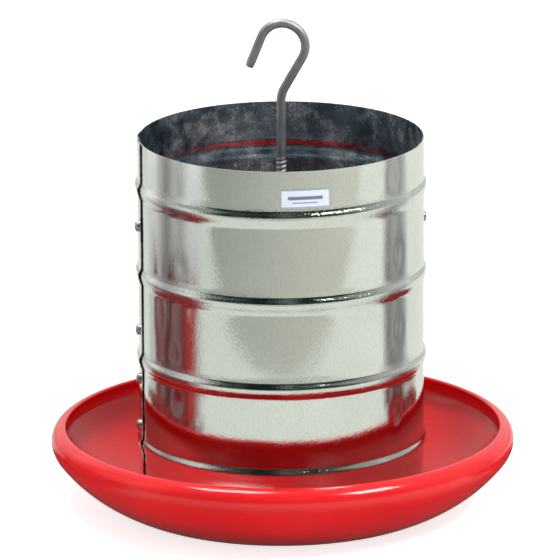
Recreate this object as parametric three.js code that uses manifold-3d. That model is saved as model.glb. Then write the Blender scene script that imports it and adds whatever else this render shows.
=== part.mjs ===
// Gravity poultry feeder: a rolled sheet-metal tube hangs on a hooked rod by a
// crossbar and a wing nut, above a moulded dish that the same rod carries.
// Millimetres, +Z up. The origin is the centre of the dish's flat underside.
// The front, where the blank label is, faces -Y, and the lap seam is near -X.

import * as THREE from 'three';
import { mergeVertices } from 'three/addons/utils/BufferGeometryUtils.js';
import Module from 'manifold-3d';

const wasm = await Module();
wasm.setup();

// Driving dimensions. Each size that can be set by itself is written once, here.

const clearance = 0.3; // left between pieces that touch

const tube = {
  radius: 125, // outside of the sheet, away from the lap
  length: 309,
  sheet: 0.8,
  feedGap: 19, // tube's lower edge above the dish's floor
};
const bead = {
  count: 4,
  topMargin: 41, // rim to the middle of the first bead
  bottomMargin: 37, // middle of the last bead to the tube's lower edge
  height: 15,
  rise: 2.5,
};
const seam = {
  edgeAngle: 192.6, // free edge of the outer lap, degrees from +X
  lapWidth: 26,
  lapClearance: 0.4,
};
const rivet = {
  headRadius: 5,
  headHeight: 3.2,
  shankRadius: 2.4,
  tailRadius: 3.8,
  tailHeight: 1.4,
  lone: [ // on the lap seam alone, each placed from a bead counted down from the rim
    { bead: 2, drop: -24 },
    { bead: 2, drop: 21 },
    { bead: 3, drop: -13.5 },
  ],
};
const crossbar = {
  depth: 77, // rim to its rivets
  thickness: 2.5,
  width: 20,
  tabLength: 20,
};
const label = {
  width: 44,
  height: 16,
  thickness: 0.4,
  depth: 24, // rim to its middle
  angle: 279.5, // degrees from +X
};
const dish = {
  radius: 204.5, // widest, across the lip
  wall: 2.8,
  footRadius: 142, // flat underside
  lipHeight: 56, // ground to the widest part, where the lip starts to curl in
  lipRadius: 12.4, // outside of the curl
  lipTurn: 90, // degrees the curl turns through, from upright to its edge
  shoulderRadius: 20, // outside of the lip where it turns into the bowl
  shoulderTurn: 38, // degrees the shoulder turns through
};
const cone = {
  height: 62,
  topRadius: 16,
  baseRadius: 88,
};
const rod = {
  radius: 4,
  threadRadius: 4.8,
  threadTopDepth: 18, // rim to the upper end of the upper thread
  upperThread: 132,
  lowerThread: 46,
  tail: 5, // rod showing below the dish's lower nut
};
const hook = {
  rise: 101.2, // rim to the centre line's highest point
  loopRadius: 20.6, // centre line, on the side where the shank joins
  tipRadius: 18.9, // centre line, from the top round to the tip
  offset: 0.9, // loop's centre from the shank's axis, along X
  lean: 30, // degrees from upright, between the shank and the loop
  bendRadius: 26,
  tipFlare: 22, // degrees from upright
  tipLength: 29,
};
const nut = {
  acrossFlats: 15,
  thickness: 7,
};
const washer = {
  radius: 11,
  thickness: 1.6,
};
const wingNut = {
  hubRadius: 8,
  hubHeight: 10,
  span: 46,
  wingHeight: 16,
  wingThickness: 2.6,
};

// Facets. The tube and dish have the same count, so that they match all round.

const turnSegments = 60;
const smallSegments = 20;
const rivetSegments = 12;
const arcSteps = 5;

// Levels and radii that several pieces share.

const rad = THREE.MathUtils.degToRad;
const tubeBottom = dish.wall + tube.feedGap;
const rim = tubeBottom + tube.length;
const tubeInside = tube.radius - tube.sheet;
const lapRise = tube.sheet + seam.lapClearance;
const columnAngle = 360 / turnSegments;
const lapAngle = (360 * seam.lapWidth) / (2 * Math.PI * tube.radius);
const lapColumns = Math.max(2, Math.round(lapAngle / columnAngle));
const innerEdgeAngle = seam.edgeAngle - lapColumns * columnAngle;
const rivetAngle = seam.edgeAngle - (lapColumns * columnAngle) / 2;
const rivetLine = rim - crossbar.depth;
const barTop = rivetLine + crossbar.tabLength / 2;
const barBottom = barTop - crossbar.thickness;
const boreRadius = rod.threadRadius + clearance;
const rivetHole = rivet.shankRadius + clearance;
const beadPitch = (tube.length - bead.topMargin - bead.bottomMargin) / (bead.count - 1);
const beadDepth = (i) => bead.topMargin + i * beadPitch;
const loneDepths = rivet.lone.map(({ bead: i, drop }) => beadDepth(i) + drop);

// How far a round wall falls away from its tangent plane, at a distance across it.
const fallAway = (wallRadius, across) => wallRadius - Math.sqrt(wallRadius ** 2 - across ** 2);

const tabFace = tubeInside - fallAway(tubeInside, crossbar.width / 2) - clearance;

// Materials.

const galvanised = () => new THREE.MeshStandardMaterial({ color: 0xc3cdc8, roughness: 0.24, metalness: 1 });
const zincPlate = () => new THREE.MeshStandardMaterial({ color: 0xa9adab, roughness: 0.4, metalness: 1 });
const rodSteel = () => new THREE.MeshStandardMaterial({ color: 0x858a8b, roughness: 0.45, metalness: 1 });
const redPlastic = () => new THREE.MeshStandardMaterial({ color: 0xdb1f26, roughness: 0.22, metalness: 0 });
const labelFilm = () => new THREE.MeshStandardMaterial({ color: 0xeef2f6, roughness: 0.35, metalness: 0 });

// Geometry helpers.

// One closed shell with shared corners and its faces pointing out.
function shell(geometry) {
  geometry.deleteAttribute('normal');
  geometry.deleteAttribute('uv');
  const merged = mergeVertices(geometry);
  const position = merged.attributes.position;
  const index = merged.index.array;
  const [a, b, c] = [new THREE.Vector3(), new THREE.Vector3(), new THREE.Vector3()];
  const kept = [];
  let volume = 0;
  for (let i = 0; i < index.length; i += 3) {
    const corners = [index[i], index[i + 1], index[i + 2]];
    if (new Set(corners).size < 3) continue;
    kept.push(...corners);
    a.fromBufferAttribute(position, corners[0]);
    b.fromBufferAttribute(position, corners[1]);
    c.fromBufferAttribute(position, corners[2]);
    volume += a.dot(b.cross(c));
  }
  if (volume < 0) kept.reverse();
  merged.setIndex(kept);
  return merged;
}

function toSolid(geometry) {
  const closed = shell(geometry);
  const vertProperties = new Float32Array(closed.attributes.position.array);
  const triVerts = new Uint32Array(closed.index.array);
  return new wasm.Manifold(new wasm.Mesh({ numProp: 3, vertProperties, triVerts }));
}

function toGeometry(solid) {
  const mesh = solid.getMesh();
  const geometry = new THREE.BufferGeometry();
  geometry.setAttribute('position', new THREE.BufferAttribute(mesh.vertProperties, 3));
  geometry.setIndex(new THREE.BufferAttribute(mesh.triVerts, 1));
  return geometry;
}

const join = (first, ...others) => {
  return toGeometry(others.reduce((solid, other) => solid.add(toSolid(other)), toSolid(first)));
};
const cut = (body, ...cutters) => {
  return toGeometry(cutters.reduce((solid, cutter) => solid.subtract(toSolid(cutter)), toSolid(body)));
};

// A solid of revolution about Z from [radius, height] points, closed on itself or on the axis.
function revolve(points, segments) {
  const geometry = new THREE.LatheGeometry(points.map(([r, z]) => new THREE.Vector2(r, z)), segments);
  return shell(geometry.rotateX(Math.PI / 2));
}

// Points along an arc in a half-section, angles in degrees from the outward direction.
function arc(centre, radius, from, to, steps = arcSteps) {
  return Array.from({ length: steps + 1 }, (_, i) => {
    const angle = rad(from + ((to - from) * i) / steps);
    return [centre[0] + radius * Math.cos(angle), centre[1] + radius * Math.sin(angle)];
  });
}

function uprightCylinder(radius, bottom, top, segments = smallSegments) {
  const geometry = new THREE.CylinderGeometry(radius, radius, top - bottom, segments);
  return geometry.rotateX(Math.PI / 2).translate(0, 0, (top + bottom) / 2);
}

// A cylinder that crosses the tube's wall at an angle round it and a height.
function wallCutter(radius, angle, height) {
  const reach = 24;
  const geometry = new THREE.CylinderGeometry(radius, radius, reach, smallSegments);
  geometry.rotateZ(-Math.PI / 2).translate(tube.radius, 0, 0);
  return geometry.rotateZ(rad(angle)).translate(0, 0, height);
}

const feeder = new THREE.Group();
const crossbarFrame = new THREE.Group();
crossbarFrame.rotation.z = rad(rivetAngle);
feeder.add(crossbarFrame);

function place(parent, name, geometry, material) {
  const mesh = new THREE.Mesh(geometry, material);
  mesh.name = name;
  parent.add(mesh);
  return mesh;
}

// Tube: one sheet bent round, with swaged beads, its ends lapped and riveted.

// Heights of the sheet's rows, each with how far the bead stands out there.
function sheetRows() {
  const rows = [[tubeBottom, 0]];
  for (let i = bead.count - 1; i >= 0; i -= 1) {
    const middle = rim - beadDepth(i);
    for (const share of [-1, -0.5, 0, 0.5, 1]) {
      const rise = (bead.rise * (1 + Math.cos(Math.PI * share))) / 2;
      rows.push([middle + (share * bead.height) / 2, rise]);
    }
  }
  rows.push([rim, 0]);
  return rows;
}

function hopperShell() {
  const rows = sheetRows();
  const columns = turnSegments + lapColumns;
  const geometry = new THREE.BoxGeometry(columns, 1, rows.length - 1, columns, 1, rows.length - 1);
  const position = geometry.attributes.position;
  for (let i = 0; i < position.count; i += 1) {
    const column = position.getX(i) + columns / 2;
    const [height, rise] = rows[Math.round(position.getZ(i) + (rows.length - 1) / 2)];
    const lift = Math.round(column) >= turnSegments - 1 ? lapRise : 0;
    const face = position.getY(i) < 0 ? tube.sheet : 0;
    const radius = tubeInside + face + rise + lift;
    const angle = rad(innerEdgeAngle + column * columnAngle);
    position.setXYZ(i, radius * Math.cos(angle), radius * Math.sin(angle), height);
  }
  const seamHoles = [crossbar.depth, ...loneDepths].map((depth) => {
    return wallCutter(rivetHole, rivetAngle, rim - depth);
  });
  const farHole = wallCutter(rivetHole, rivetAngle + 180, rivetLine);
  return cut(geometry, ...seamHoles, farHole);
}

place(feeder, 'hopper_shell', hopperShell(), galvanised());

// Rivets: a domed head outside and a formed tail inside, along a radius of the tube.

function rivetGeometry(headSeat, tailSeat) {
  const dome = Array.from({ length: arcSteps - 1 }, (_, i) => {
    const angle = (Math.PI / 2) * (1 - (i + 1) / arcSteps);
    return [rivet.headRadius * Math.cos(angle), headSeat + rivet.headHeight * Math.sin(angle)];
  });
  const profile = [
    [0, headSeat + rivet.headHeight],
    ...dome,
    [rivet.headRadius, headSeat],
    [rivet.shankRadius, headSeat],
    [rivet.shankRadius, tailSeat],
    [rivet.tailRadius, tailSeat],
    [rivet.tailRadius, tailSeat - rivet.tailHeight],
    [0, tailSeat - rivet.tailHeight],
  ];
  const points = profile.map(([r, along]) => new THREE.Vector2(r, along));
  return shell(new THREE.LatheGeometry(points, rivetSegments));
}

function placeRivet(name, angle, height, wallOutside, tailSeat) {
  const headSeat = wallOutside + clearance;
  const around = new THREE.Group();
  around.rotation.z = rad(angle);
  feeder.add(around);
  const mesh = place(around, name, rivetGeometry(headSeat, tailSeat), zincPlate());
  mesh.rotation.z = -Math.PI / 2;
  mesh.position.z = height;
}

const barTailSeat = tabFace - crossbar.thickness - clearance;
const loneTailSeat = tubeInside - fallAway(tubeInside, rivet.tailRadius) - clearance;
placeRivet('seam_rivet_1', rivetAngle, rivetLine, tube.radius + lapRise, barTailSeat);
loneDepths.forEach((depth, i) => {
  placeRivet(`seam_rivet_${i + 2}`, rivetAngle, rim - depth, tube.radius + lapRise, loneTailSeat);
});
placeRivet('crossbar_rivet', rivetAngle + 180, rivetLine, tube.radius, barTailSeat);

// Crossbar: a flat bar across the tube, its ends bent down as tabs for the rivets.

function crossbarGeometry() {
  const tabBottom = barTop - crossbar.tabLength;
  const outline = new THREE.Shape();
  outline.moveTo(-tabFace, tabBottom);
  outline.lineTo(-tabFace + crossbar.thickness, tabBottom);
  outline.lineTo(-tabFace + crossbar.thickness, barBottom);
  outline.lineTo(tabFace - crossbar.thickness, barBottom);
  outline.lineTo(tabFace - crossbar.thickness, tabBottom);
  outline.lineTo(tabFace, tabBottom);
  outline.lineTo(tabFace, barTop);
  outline.lineTo(-tabFace, barTop);
  const bar = new THREE.ExtrudeGeometry(outline, { depth: crossbar.width, bevelEnabled: false });
  bar.rotateX(Math.PI / 2).translate(0, crossbar.width / 2, 0);
  const rodHole = uprightCylinder(boreRadius, barBottom - 1, barTop + 1);
  const rivetHoles = new THREE.CylinderGeometry(rivetHole, rivetHole, 3 * tabFace, smallSegments);
  rivetHoles.rotateZ(Math.PI / 2).translate(0, 0, rivetLine);
  return cut(bar, rodHole, rivetHoles);
}

place(crossbarFrame, 'crossbar', crossbarGeometry(), zincPlate());

// Label: a blank curved film on the tube's front, above the first bead.

function labelGeometry() {
  const columns = 8;
  const geometry = new THREE.BoxGeometry(label.width, label.thickness, label.height, columns, 1, 1);
  const position = geometry.attributes.position;
  const inside = tube.radius + clearance;
  for (let i = 0; i < position.count; i += 1) {
    const angle = rad(label.angle) + position.getX(i) / inside;
    const radius = inside + label.thickness / 2 - position.getY(i);
    const height = rim - label.depth + position.getZ(i);
    position.setXYZ(i, radius * Math.cos(angle), radius * Math.sin(angle), height);
  }
  return shell(geometry);
}

place(feeder, 'label_plate', labelGeometry(), labelFilm());

// Dish: a moulded bowl with a lip curled inwards and a raised cone in the middle.

function dishGeometry() {
  const curlCentre = [dish.radius - dish.lipRadius, dish.lipHeight];
  const shoulderCentre = [dish.radius - dish.shoulderRadius, dish.lipHeight];
  const coneSlope = Math.atan2(cone.height - dish.wall, cone.baseRadius - cone.topRadius);
  const coneInset = dish.wall * Math.tan(coneSlope / 2);
  // The bowl's curve leaves the shoulder in line with it and comes down to the foot.
  const turn = rad(dish.shoulderTurn);
  const shoulderEnd = [
    shoulderCentre[0] + dish.shoulderRadius * Math.cos(turn),
    shoulderCentre[1] - dish.shoulderRadius * Math.sin(turn),
  ];
  const inward = shoulderEnd[0] - dish.footRadius;
  const down = shoulderEnd[1];
  const bowlRadius = (inward ** 2 + down ** 2) / (2 * (inward * Math.cos(turn) - down * Math.sin(turn)));
  const bowlCentre = [
    shoulderEnd[0] - bowlRadius * Math.cos(turn),
    shoulderEnd[1] + bowlRadius * Math.sin(turn),
  ];
  const bowlArc = (radius, level) => {
    const foot = -THREE.MathUtils.radToDeg(Math.asin((bowlCentre[1] - level) / radius));
    return arc(bowlCentre, radius, foot, -dish.shoulderTurn);
  };
  const profile = [
    [boreRadius, cone.height],
    [cone.topRadius, cone.height],
    [cone.baseRadius, dish.wall],
    ...bowlArc(bowlRadius - dish.wall, dish.wall),
    ...arc(shoulderCentre, dish.shoulderRadius - dish.wall, -dish.shoulderTurn, 0).slice(1),
    ...arc(curlCentre, dish.lipRadius - dish.wall, 0, dish.lipTurn).slice(1),
    ...arc(curlCentre, dish.lipRadius, dish.lipTurn, 0),
    ...arc(shoulderCentre, dish.shoulderRadius, 0, -dish.shoulderTurn).slice(1),
    ...bowlArc(bowlRadius, 0).reverse().slice(1),
    [cone.baseRadius - coneInset, 0],
    [cone.topRadius - coneInset, cone.height - dish.wall],
    [boreRadius, cone.height - dish.wall],
    [boreRadius, cone.height],
  ];
  return revolve(profile, turnSegments);
}

place(feeder, 'feed_dish', dishGeometry(), redPlastic());

// Washers and nuts. Each stack on the rod is worked out from the face that it clamps.

const ring = (radius, bottom, thickness) => {
  const top = bottom + thickness;
  const profile = [[boreRadius, bottom], [radius, bottom], [radius, top], [boreRadius, top], [boreRadius, bottom]];
  return revolve(profile, smallSegments);
};

function hexNut(bottom) {
  const corner = nut.acrossFlats / Math.sqrt(3);
  const blank = uprightCylinder(corner, bottom, bottom + nut.thickness, 6);
  return cut(blank, uprightCylinder(boreRadius, bottom - 1, bottom + nut.thickness + 1));
}

// Wing nut: a round hub with two wings that flare up beside it.
function wingNutGeometry(top) {
  const bottom = top - wingNut.hubHeight;
  const tip = wingNut.span / 2;
  const wingTop = bottom + wingNut.hubHeight - 2;
  const outline = new THREE.Shape();
  outline.moveTo(0, bottom + 1);
  outline.lineTo(wingNut.hubRadius, bottom + 1);
  outline.quadraticCurveTo(tip - 4, bottom - 2, tip, wingTop - wingNut.wingHeight);
  outline.quadraticCurveTo(tip + 3, wingTop - wingNut.wingHeight / 2, tip - 5, wingTop - 1);
  outline.quadraticCurveTo(wingNut.hubRadius + 4, wingTop - 2, wingNut.hubRadius, wingTop);
  outline.lineTo(0, wingTop);
  const extrusion = { depth: wingNut.wingThickness, bevelEnabled: false, curveSegments: arcSteps };
  const wing = new THREE.ExtrudeGeometry(outline, extrusion);
  wing.rotateX(Math.PI / 2).translate(0, wingNut.wingThickness / 2, 0);
  const opposite = wing.clone().rotateZ(Math.PI);
  const hub = uprightCylinder(wingNut.hubRadius, bottom, top);
  const solid = join(hub, wing, opposite);
  return cut(solid, uprightCylinder(boreRadius, bottom - 1, top + 1));
}

const step = washer.thickness + clearance;
const heightWasherBottom = barBottom - step;
place(feeder, 'height_washer', ring(washer.radius, heightWasherBottom, washer.thickness), zincPlate());
place(feeder, 'height_wing_nut', wingNutGeometry(heightWasherBottom - clearance), zincPlate());
place(feeder, 'lock_washer', ring(washer.radius, barTop + clearance, washer.thickness), zincPlate());
place(feeder, 'lock_nut', hexNut(barTop + clearance + step), zincPlate());

const coneUnderside = cone.height - dish.wall;
const lowerWasherBottom = coneUnderside - step;
const lowerNutBottom = lowerWasherBottom - clearance - nut.thickness;
place(feeder, 'dish_upper_washer', ring(washer.radius, cone.height + clearance, washer.thickness), zincPlate());
place(feeder, 'dish_upper_nut', hexNut(cone.height + clearance + step), zincPlate());
place(feeder, 'dish_lower_washer', ring(washer.radius, lowerWasherBottom, washer.thickness), zincPlate());
place(feeder, 'dish_lower_nut', hexNut(lowerNutBottom), zincPlate());

// Hook rod: plain at the top and in the middle, threaded where the nuts are.

class ArcCurve extends THREE.Curve {
  constructor(centreX, centreZ, radius, from, to) {
    super();
    Object.assign(this, { centreX, centreZ, radius, from, to });
  }

  getPoint(t, target = new THREE.Vector3()) {
    const angle = rad(this.from + (this.to - this.from) * t);
    const x = this.centreX + this.radius * Math.cos(angle);
    return target.set(x, 0, this.centreZ + this.radius * Math.sin(angle));
  }
}

function hookPath(start) {
  const top = rim + hook.rise;
  const loopZ = top - hook.loopRadius;
  const lean = rad(hook.lean);
  const joinX = hook.offset + hook.loopRadius * Math.cos(lean);
  const joinZ = loopZ - hook.loopRadius * Math.sin(lean);
  const leanX = hook.bendRadius * (1 - Math.cos(lean));
  const leanZ = joinZ - (joinX - leanX) / Math.tan(lean);
  const bendZ = leanZ - hook.bendRadius * Math.sin(lean);
  const tipZ = top - hook.tipRadius;
  const flare = rad(hook.tipFlare);
  const flareX = hook.offset - hook.tipRadius * Math.cos(flare);
  const flareZ = tipZ + hook.tipRadius * Math.sin(flare);
  const endX = flareX - hook.tipLength * Math.sin(flare);
  const endZ = flareZ - hook.tipLength * Math.cos(flare);
  const path = new THREE.CurvePath();
  path.add(new THREE.LineCurve3(new THREE.Vector3(0, 0, start), new THREE.Vector3(0, 0, bendZ)));
  path.add(new ArcCurve(hook.bendRadius, bendZ, hook.bendRadius, 180, 180 - hook.lean));
  path.add(new THREE.LineCurve3(new THREE.Vector3(leanX, 0, leanZ), new THREE.Vector3(joinX, 0, joinZ)));
  path.add(new ArcCurve(hook.offset, loopZ, hook.loopRadius, -hook.lean, 90));
  path.add(new ArcCurve(hook.offset, tipZ, hook.tipRadius, 90, 180 - hook.tipFlare));
  path.add(new THREE.LineCurve3(new THREE.Vector3(flareX, 0, flareZ), new THREE.Vector3(endX, 0, endZ)));
  return path;
}

function hookRod() {
  const stepLength = 4;
  const sides = 12;
  const rodBottom = lowerNutBottom - rod.tail;
  const threadTop = rim - rod.threadTopDepth;
  const upperThreadBottom = threadTop - rod.upperThread;
  const lowerThreadTop = rodBottom + rod.lowerThread;
  const overlap = 6;
  const section = new THREE.Shape();
  section.absarc(0, 0, rod.radius, 0, 2 * Math.PI);
  const path = hookPath(threadTop - overlap);
  const steps = Math.round(path.getLength() / stepLength);
  const extrusion = { steps, extrudePath: path, curveSegments: sides / 2 };
  const bent = new THREE.ExtrudeGeometry(section, extrusion);
  const upperThread = uprightCylinder(rod.threadRadius, upperThreadBottom, threadTop);
  const shank = uprightCylinder(rod.radius, lowerThreadTop - overlap, upperThreadBottom + overlap, sides);
  const lowerThread = uprightCylinder(rod.threadRadius, rodBottom, lowerThreadTop);
  return join(bent, upperThread, shank, lowerThread);
}

place(feeder, 'hook_rod', hookRod(), rodSteel());

export default feeder;
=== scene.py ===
"""Gravity poultry feeder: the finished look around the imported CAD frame. Metres, +Z up."""
import math

import bmesh
import bpy
import numpy as np
from mathutils import Matrix, Vector

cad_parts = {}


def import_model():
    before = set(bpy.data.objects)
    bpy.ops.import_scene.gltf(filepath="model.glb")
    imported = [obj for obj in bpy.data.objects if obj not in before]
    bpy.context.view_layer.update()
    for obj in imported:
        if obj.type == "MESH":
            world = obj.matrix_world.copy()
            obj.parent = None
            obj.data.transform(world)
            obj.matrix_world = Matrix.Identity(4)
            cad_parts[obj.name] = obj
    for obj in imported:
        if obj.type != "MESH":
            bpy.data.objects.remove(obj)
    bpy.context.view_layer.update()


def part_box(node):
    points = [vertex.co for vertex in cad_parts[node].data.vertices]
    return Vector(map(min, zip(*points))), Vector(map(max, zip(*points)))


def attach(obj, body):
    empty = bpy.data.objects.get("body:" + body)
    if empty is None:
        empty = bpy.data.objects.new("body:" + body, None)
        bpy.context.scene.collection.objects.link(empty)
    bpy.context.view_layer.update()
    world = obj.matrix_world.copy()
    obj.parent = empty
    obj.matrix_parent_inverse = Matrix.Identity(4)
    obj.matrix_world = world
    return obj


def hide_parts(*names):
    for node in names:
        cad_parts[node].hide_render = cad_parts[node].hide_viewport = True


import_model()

# ---------------------------------------------------------------- sizes

MM = 0.001
SEED = 7

SHEET = 0.8 * MM
BEAD_COUNT = 4
BEAD_HEIGHT = 15 * MM
BEAD_RISE = 2.5 * MM
BEAD_SWELL = 2.2 * MM
BEAD_TOP_MARGIN = 41 * MM
BEAD_BOTTOM_MARGIN = 37 * MM
BEAD_UPPER = 6 * MM
BEAD_LOWER = 11.5 * MM
WAVE_HEIGHT = 0.45 * MM
SEAM_EDGE = math.radians(192.6)
SEAM_SPAN = math.radians(12)
LAP_RISE = 1.2 * MM
EDGE_LIFT = 0.5 * MM
DISH_WALL = 2.8 * MM
FOOT_RADIUS = 142 * MM
LIP_HEIGHT = 56 * MM
LIP_RADIUS = 12.4 * MM
LIP_TURN = 90
SHOULDER_RADIUS = 20 * MM
SHOULDER_TURN = 38
CONE_TOP_RADIUS = 16 * MM
CONE_BASE_RADIUS = 88 * MM
CONE_HEIGHT = 62 * MM
ROD_RADIUS = 4 * MM
THREAD_RADIUS = 4.8 * MM
THREAD_ROOT = 3.95 * MM
THREAD_PITCH = 4 * MM
UPPER_THREAD = 132 * MM
LOWER_THREAD = 46 * MM
THREAD_TOP_DEPTH = 18 * MM
HOOK_RISE = 101.2 * MM
HOOK_LOOP_RADIUS = 20.6 * MM
HOOK_TIP_RADIUS = 18.9 * MM
HOOK_OFFSET = 0.9 * MM
HOOK_LEAN = math.radians(30)
HOOK_BEND_RADIUS = 26 * MM
HOOK_FLARE = math.radians(22)
HOOK_TIP_LENGTH = 29 * MM

# Handling dents: degrees from +X, height, half width, half height, depth.
DENTS = [
    (324.2, 243 * MM, 5 * MM, 11 * MM, 0.90 * MM),
    (324.5, 176 * MM, 5 * MM, 11 * MM, 0.80 * MM),
    (322.5, 97 * MM, 6 * MM, 11 * MM, 0.90 * MM),
    (321.0, 314 * MM, 5 * MM, 9 * MM, 0.50 * MM),
    (226.0, 237 * MM, 5 * MM, 10 * MM, 0.60 * MM),
    (221.5, 156 * MM, 5 * MM, 9 * MM, 0.80 * MM),
    (223.0, 113 * MM, 5 * MM, 7 * MM, 0.80 * MM),
    (212.0, 188 * MM, 6 * MM, 18 * MM, 0.60 * MM),
]

BORE = THREAD_RADIUS + 0.3 * MM
NUT_FLATS = 15 * MM
WING_HUB_RADIUS = 8 * MM
WING_HUB_HEIGHT = 10 * MM
WING_THICKNESS = 2.6 * MM
RIVET_HEAD_RADIUS = 5 * MM
RIVET_HEAD_HEIGHT = 3.2 * MM
RIVET_SHANK_RADIUS = 2.4 * MM
RIVET_TAIL_RADIUS = 3.8 * MM
RIVET_TAIL_HEIGHT = 1.4 * MM
BAR_REACH = 123.5 * MM
BAR_THICKNESS = 2.5 * MM
BAR_WIDTH = 20 * MM
LABEL_THICKNESS = 0.4 * MM

SHELL_LOW, SHELL_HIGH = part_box("hopper_shell")
DISH_LOW, DISH_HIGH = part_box("feed_dish")
ROD_LOW, ROD_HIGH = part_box("hook_rod")
RIM = SHELL_HIGH.z
TUBE_BOTTOM = SHELL_LOW.z
TUBE_RADIUS = SHELL_HIGH.y - BEAD_RISE
TUBE_INSIDE = TUBE_RADIUS - SHEET
DISH_RADIUS = DISH_HIGH.x
BEAD_PITCH = (RIM - TUBE_BOTTOM - BEAD_TOP_MARGIN - BEAD_BOTTOM_MARGIN) / (BEAD_COUNT - 1)
BEAD_MIDDLES = [RIM - BEAD_TOP_MARGIN - i * BEAD_PITCH for i in range(BEAD_COUNT)]
RIVET_ANGLE = SEAM_EDGE - SEAM_SPAN / 2


# ---------------------------------------------------------------- mesh helpers

def new_object(name, mesh, material, body, slot, *nodes):
    """A finished piece: it rides on its body, stands for its CAD nodes and has one material."""
    piece = bpy.data.objects.new(name, mesh)
    bpy.context.scene.collection.objects.link(piece)
    mesh.materials.append(material)
    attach(piece, body)
    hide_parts(*nodes)
    return piece


def mesh_from(name, points, faces, sharp=math.radians(35)):
    """A mesh with its faces turned outwards, smooth except where faces meet at a sharp angle."""
    mesh = bpy.data.meshes.new(name)
    mesh.from_pydata([tuple(map(float, p)) for p in points], [], faces)
    tidy = bmesh.new()
    tidy.from_mesh(mesh)
    bmesh.ops.remove_doubles(tidy, verts=tidy.verts, dist=1e-7)
    bmesh.ops.dissolve_degenerate(tidy, edges=tidy.edges, dist=1e-8)
    bmesh.ops.recalc_face_normals(tidy, faces=tidy.faces)
    for face in tidy.faces:
        face.smooth = True
    for edge in tidy.edges:
        edge.smooth = edge.is_manifold and edge.calc_face_angle(0) < sharp
    tidy.to_mesh(mesh)
    tidy.free()
    return mesh


def grid_faces(rows, columns, close_rows=False, close_columns=False):
    """Quads of a rows by columns grid of points stored row by row."""
    faces = []
    for i in range(rows if close_rows else rows - 1):
        for j in range(columns if close_columns else columns - 1):
            a = i * columns + j
            b = i * columns + (j + 1) % columns
            c = ((i + 1) % rows) * columns + (j + 1) % columns
            d = ((i + 1) % rows) * columns + j
            faces.append((a, b, c, d))
    return faces


def revolve(name, profile, segments):
    """A closed [radius, height] profile turned about Z."""
    angles = np.linspace(0, 2 * math.pi, segments, endpoint=False)
    points = [(r * math.cos(a), r * math.sin(a), z) for r, z in profile for a in angles]
    faces = grid_faces(len(profile), segments, close_rows=True, close_columns=True)
    return mesh_from(name, points, faces)


def arc(centre, radius, start, end, steps):
    """Profile points along an arc, angles in degrees from the outward direction."""
    angles = np.radians(np.linspace(start, end, steps + 1))
    return [(centre[0] + radius * math.cos(a), centre[1] + radius * math.sin(a)) for a in angles]


def rounded(profile, radius, steps=4):
    """A closed profile with each of its corners rounded."""
    out = []
    count = len(profile)
    for i in range(count):
        here = Vector(profile[i])
        before = Vector(profile[i - 1]) - here
        after = Vector(profile[(i + 1) % count]) - here
        reach = min(radius, before.length * 0.45, after.length * 0.45)
        start = here + before.normalized() * reach
        end = here + after.normalized() * reach
        for k in range(steps + 1):
            t = k / steps
            point = (1 - t) ** 2 * start + 2 * t * (1 - t) * here + t ** 2 * end
            out.append((point.x, point.y))
    return out


def sweep(name, stations, sides):
    """A round bar through (centre, side, up, radius function) stations, closed at both ends."""
    points = []
    angles = np.linspace(0, 2 * math.pi, sides, endpoint=False)
    for centre, side, up, radius_at in stations:
        for a in angles:
            r = radius_at(a)
            points.append(centre + side * (r * math.cos(a)) + up * (r * math.sin(a)))
    faces = grid_faces(len(stations), sides, close_columns=True)
    last = (len(stations) - 1) * sides
    faces.append(tuple(range(sides - 1, -1, -1)))
    faces.append(tuple(last + k for k in range(sides)))
    return mesh_from(name, points, faces)


# ---------------------------------------------------------------- node helpers

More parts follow.
